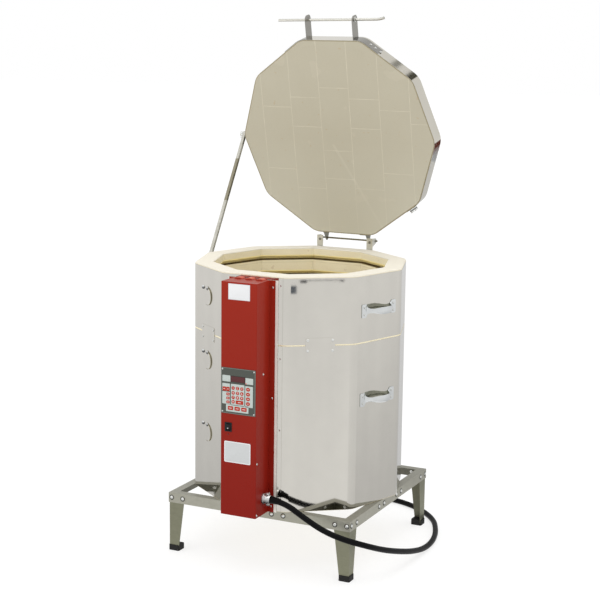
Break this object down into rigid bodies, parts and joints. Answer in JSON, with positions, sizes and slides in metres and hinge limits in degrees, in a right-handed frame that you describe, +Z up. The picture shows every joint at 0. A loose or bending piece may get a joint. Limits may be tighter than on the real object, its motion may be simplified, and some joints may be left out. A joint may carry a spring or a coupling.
{
  "type": "ceramic kiln",
  "caption": "Ten-sided top-loading electric ceramic kiln on an angle stand, brick lid open on its back hinge, with control box, peephole covers, lift handles and mains cord.",
  "frame": {"origin": "on the floor under the middle of the firing chamber", "axes": "+Z up; -Y towards the control box at the front, +X to the right as seen from the front"},
  "size_m": [0.8914, 0.9994, 1.8623],
  "materials": {
    "firebrick": "matt, soft and porous",
    "lid_firebrick": "matt, grey-buff from firing",
    "stainless_jacket": "bright rolled, close to a mirror",
    "lid_band_steel": "bright rolled",
    "stainless_plate": "bright, fine grain",
    "bright_zinc": "zinc plated",
    "galvanised_strap": "pale galvanised",
    "galvanised_sheet": "galvanised with faint spangle",
    "polished_bar": "polished",
    "chrome_handle": "chrome plated",
    "polished_cover": "polished",
    "element_wire": "dark oxidised wire coil",
    "porcelain": "smooth, unglazed",
    "red_enamel": "glossy red paint",
    "printed_panel": "satin grey print",
    "display_red": "dark red window",
    "circuit_board": "green board",
    "black_plastic": "moulded",
    "rocker_plastic": "glossy",
    "transformer_iron": "varnished laminations",
    "lamp_lens": "clear red lens",
    "cast_clamp": "die cast",
    "cord_rubber": "smooth black sheath",
    "plug_rubber": "moulded",
    "blade_brass": "bare",
    "boot_rubber": "moulded"
  },
  "bodies": {
    "kiln_body": {"body_hinge_straps": "galvanised_strap", "box_back_plate": "galvanised_sheet", "box_cover": "red_enamel", "box_screws": "bright_zinc", "brace_guide": "galvanised_strap", "control_board": "circuit_board", "controller_panel": "printed_panel", "cord_clamp": "cast_clamp", "display_window": "display_red", "element_terminals": "element_wire", "floor_slab": "firebrick", "hinge_push_nuts": "bright_zinc", "hinge_rod": "bright_zinc", "jacket_screws": "bright_zinc", "lower_brick_wall": "firebrick", "lower_heating_elements": "element_wire", "lower_jacket": "stainless_jacket", "lower_lift_handles": "chrome_handle", "peephole_screws": "bright_zinc", "plug_blades": "blade_brass", "plug_body": "plug_rubber", "power_cord": "cord_rubber", "power_relays": "black_plastic", "ring_joint_plates": "stainless_plate", "stand_back_rail": "galvanised_sheet", "stand_bolts": "bright_zinc", "stand_boots": "boot_rubber", "stand_corner_braces": "galvanised_sheet", "stand_front_rail": "galvanised_sheet", "stand_left_rail": "galvanised_sheet", "stand_leg_back_left": "galvanised_sheet", "stand_leg_back_right": "galvanised_sheet", "stand_leg_front_left": "galvanised_sheet", "stand_leg_front_right": "galvanised_sheet", "stand_right_rail": "galvanised_sheet", "status_lamp": "lamp_lens", "switch_housing": "black_plastic", "terminal_block": "black_plastic", "thermocouple": "porcelain", "transformer": "transformer_iron", "upper_brick_wall": "firebrick", "upper_heating_elements": "element_wire", "upper_jacket": "stainless_jacket", "upper_lift_handles": "chrome_handle"},
    "lid": {"lid_slab": "lid_firebrick", "lid_band": "lid_band_steel", "lid_band_clamp": "bright_zinc", "lid_handle_strap_left": "stainless_plate", "lid_handle_strap_right": "stainless_plate", "lid_handle_bar": "polished_bar", "handle_push_nuts": "bright_zinc", "lid_hinge_straps": "galvanised_strap", "lid_screws": "bright_zinc", "brace_bracket": "galvanised_strap", "brace_wing_nut": "bright_zinc"},
    "brace": {"brace_arm": "galvanised_strap"},
    "cover_upper": {"peephole_cover_upper": "polished_cover"},
    "cover_middle": {"peephole_cover_middle": "polished_cover"},
    "cover_lower": {"peephole_cover_lower": "polished_cover"},
    "rocker": {"power_rocker": "rocker_plastic"}
  },
  "joints": [
    {"name": "lid_hinge", "type": "hinge", "parent": "kiln_body", "child": "lid", "pos_m": [0, 0.394, 1.04], "axis": [1, 0, 0], "range_deg": [0, 77.5]},
    {"name": "brace_pivot", "type": "hinge", "parent": "lid", "child": "brace", "pos_m": [-0.388, 0.3061, 1.4179], "axis": [1, 0, 0], "range_deg": [-12, 0]},
    {"name": "cover_upper_swing", "type": "hinge", "parent": "kiln_body", "child": "cover_upper", "pos_m": [-0.21675, -0.28812, 0.935], "axis": [-0.5878, -0.809, 0], "range_deg": [-14, 100]},
    {"name": "cover_middle_swing", "type": "hinge", "parent": "kiln_body", "child": "cover_middle", "pos_m": [-0.21675, -0.28812, 0.711], "axis": [-0.5878, -0.809, 0], "range_deg": [-14, 100]},
    {"name": "cover_lower_swing", "type": "hinge", "parent": "kiln_body", "child": "cover_lower", "pos_m": [-0.21675, -0.28812, 0.455], "axis": [-0.5878, -0.809, 0], "range_deg": [-14, 100]},
    {"name": "rocker_tilt", "type": "hinge", "parent": "kiln_body", "child": "rocker", "pos_m": [-0.043, -0.452, 0.5095], "axis": [1, 0, 0], "range_deg": [0, 18]}
  ],
  "couplings": [
    {"joint": "brace_pivot", "follows": "lid_hinge", "ratio": -0.148}
  ]
}
